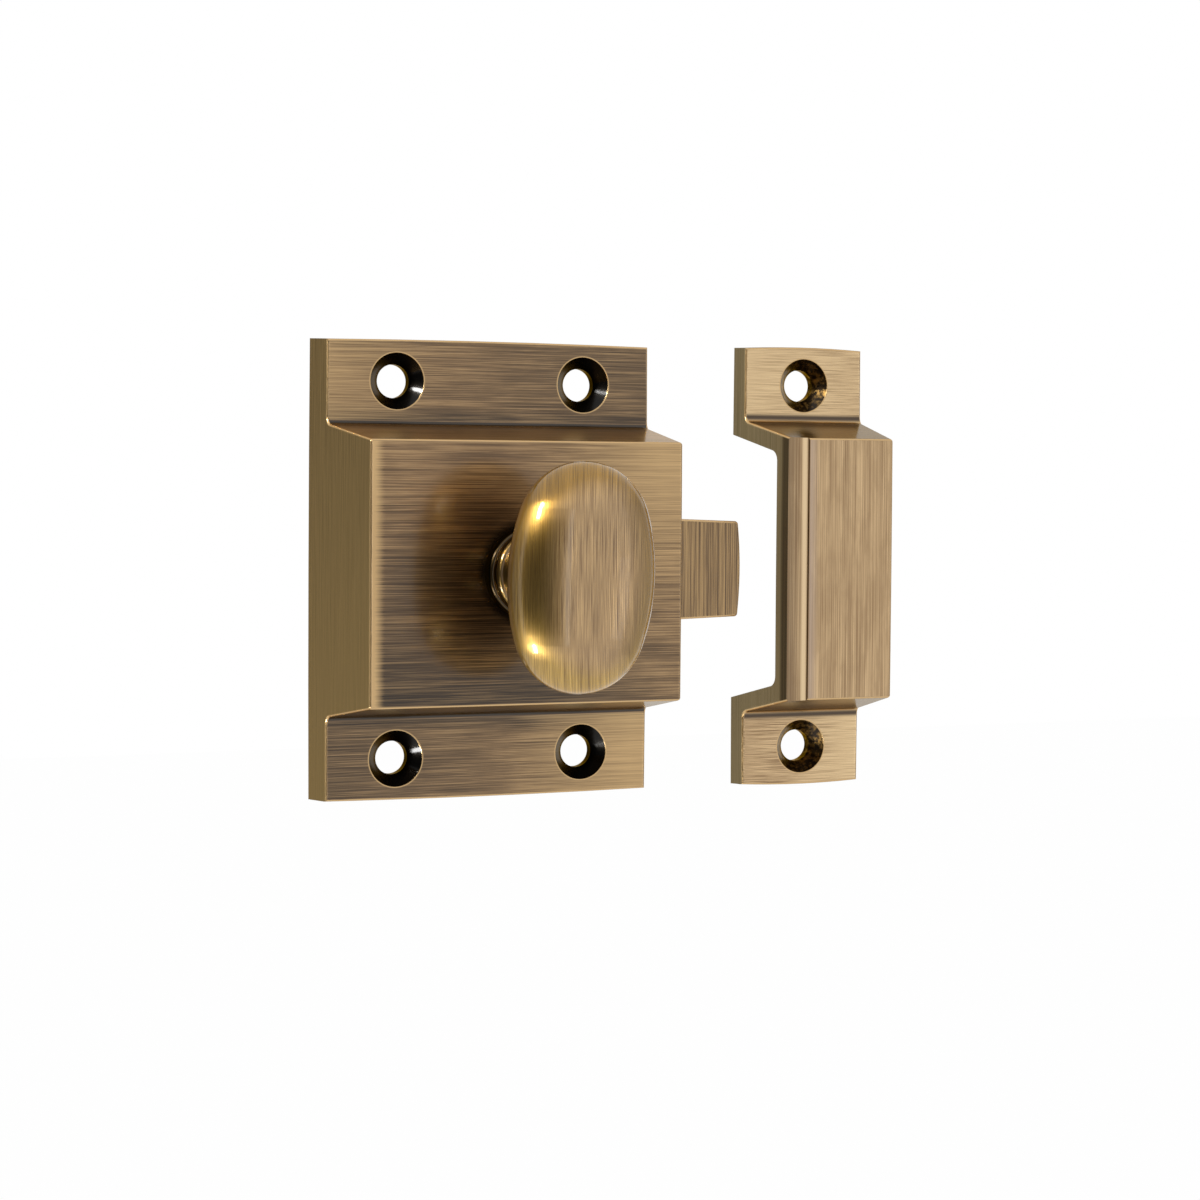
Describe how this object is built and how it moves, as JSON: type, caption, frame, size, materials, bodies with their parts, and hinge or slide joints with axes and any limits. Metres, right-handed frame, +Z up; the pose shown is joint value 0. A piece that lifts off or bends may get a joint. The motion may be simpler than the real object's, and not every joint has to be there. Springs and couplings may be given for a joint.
{
  "type": "cupboard catch latch",
  "caption": "Surface-mounted cupboard catch with an oval turn knob, a case with screw flanges, a bevelled spring bolt and a separate hat-shaped keeper.",
  "frame": {"origin": "middle of the case's back face, on the knob's axis", "axes": "+X from the case to the keeper, +Y into the door or frame that the backs lie on, +Z up; the fronts face -Y"},
  "size_m": [0.0868, 0.0457, 0.066],
  "materials": {
    "case_brass": "brushed antique brass under gloss lacquer",
    "keeper_brass": "brushed antique brass under gloss lacquer",
    "knob_brass": "polished antique brass under gloss lacquer",
    "bush_brass": "turned antique brass",
    "bolt_brass": "brushed antique brass, worn bright on its edges",
    "inner_brass": "plain machined",
    "cover_steel": "plated sheet",
    "small_steel": "zinc plated",
    "spring_steel": "drawn wire"
  },
  "bodies": {
    "case": {"latch_case": "case_brass", "back_cover": "cover_steel", "cover_screws": "small_steel", "neck_bush": "bush_brass", "friction_washer": "inner_brass", "bolt_spring": "spring_steel", "keeper": "keeper_brass"},
    "turn": {"turn_knob": "knob_brass", "grub_screw": "small_steel", "spindle": "small_steel", "stem_clip": "small_steel", "cam": "inner_brass"},
    "bolt": {"latch_bolt": "bolt_brass"}
  },
  "joints": [
    {"name": "knob_turn", "type": "hinge", "parent": "case", "child": "turn", "pos_m": [0, -0.0206, 0], "axis": [0, 1, 0], "range_deg": [0, 75]},
    {"name": "bolt_slide", "type": "slide", "parent": "case", "child": "bolt", "axis": [-1, 0, 0], "range_m": [0, 0.0089], "stiffness_N_per_m": 300, "springref_m": -0.01, "deforming": ["bolt_spring"]}
  ],
  "couplings": [
    {"joint": "knob_turn", "follows": "bolt_slide", "rad_per_m": 147.06}
  ]
}
